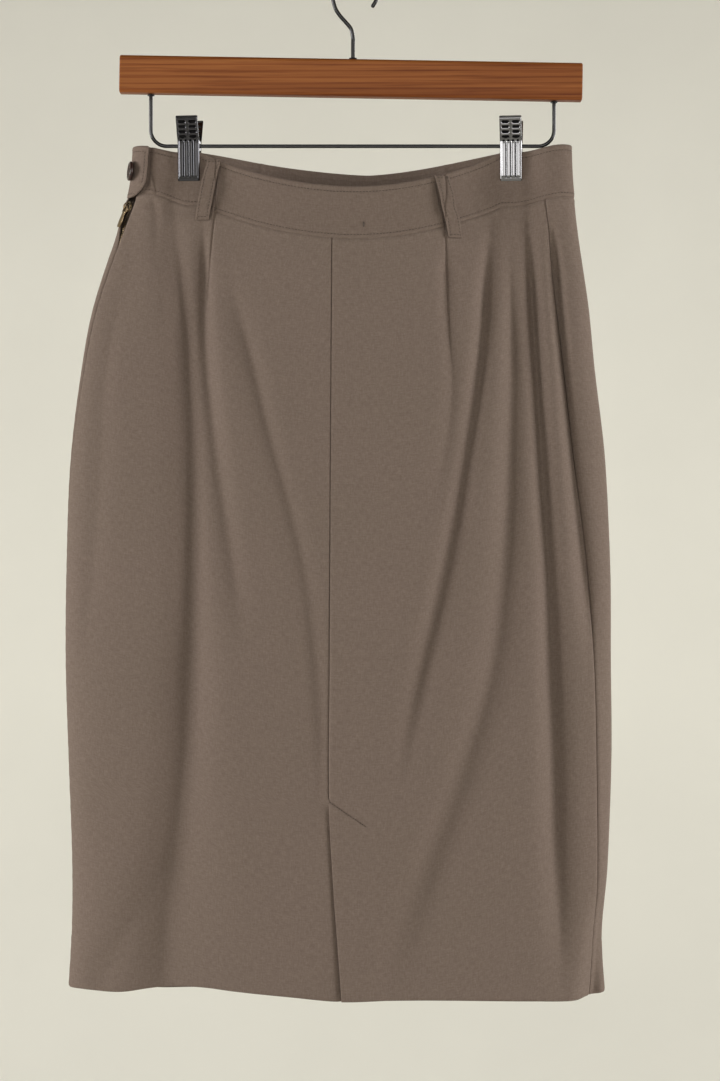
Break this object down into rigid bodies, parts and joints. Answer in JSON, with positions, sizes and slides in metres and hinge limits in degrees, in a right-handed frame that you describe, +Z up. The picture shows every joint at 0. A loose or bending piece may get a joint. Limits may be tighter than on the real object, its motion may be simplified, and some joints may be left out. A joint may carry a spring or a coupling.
{
  "type": "pencil skirt on a clip hanger",
  "caption": "Knee-length wool pencil skirt, seen from its back with a vent, belt loops and side zip, clipped by its waistband to a wooden hanger.",
  "frame": {"origin": "where a rail carries the hanger: the top of the hook's inner curve", "axes": "+Z up, +X to the viewer's right when the skirt's back is looked at, -Y towards that viewer, so the skirt's front faces +Y"},
  "size_m": [0.4362, 0.0712, 0.8218],
  "materials": {
    "wool_cloth": "taupe wool flannel, matt with a slight nap",
    "zip_tape": "woven polyester tape",
    "zip_brass": "polished, slightly dulled",
    "horn_button": "dark red-brown imitation horn",
    "stained_wood": "varnished, light cherry stain",
    "chrome_wire": "bright chrome plate on steel wire",
    "chrome_sheet": "bright chrome plate on pressed steel"
  },
  "bodies": {
    "skirt_on_hanger": {"skirt_back_left": "wool_cloth", "skirt_back_right": "wool_cloth", "skirt_front": "wool_cloth", "waistband": "wool_cloth", "belt_loop_back_left": "wool_cloth", "belt_loop_back_right": "wool_cloth", "belt_loop_front_left": "wool_cloth", "belt_loop_front_right": "wool_cloth", "waist_button": "horn_button", "zip_tape": "zip_tape", "zip_slider": "zip_brass", "hanger_bar": "stained_wood", "hanger_hook": "chrome_wire", "hanger_wire": "chrome_wire", "clip_left_front_jaw": "chrome_sheet", "clip_left_back_jaw": "chrome_sheet", "clip_left_spring": "chrome_wire", "clip_right_front_jaw": "chrome_sheet", "clip_right_back_jaw": "chrome_sheet", "clip_right_spring": "chrome_wire"},
    "pull_tab": {"zip_pull_tab": "zip_brass"}
  },
  "joints": [
    {"name": "pull_tab_swing", "type": "hinge", "parent": "skirt_on_hanger", "child": "pull_tab", "pos_m": [-0.18161, 0.00298, -0.18779], "axis": [-0.5101, 0.8365, 0.2005], "range_deg": [0, 150]}
  ]
}
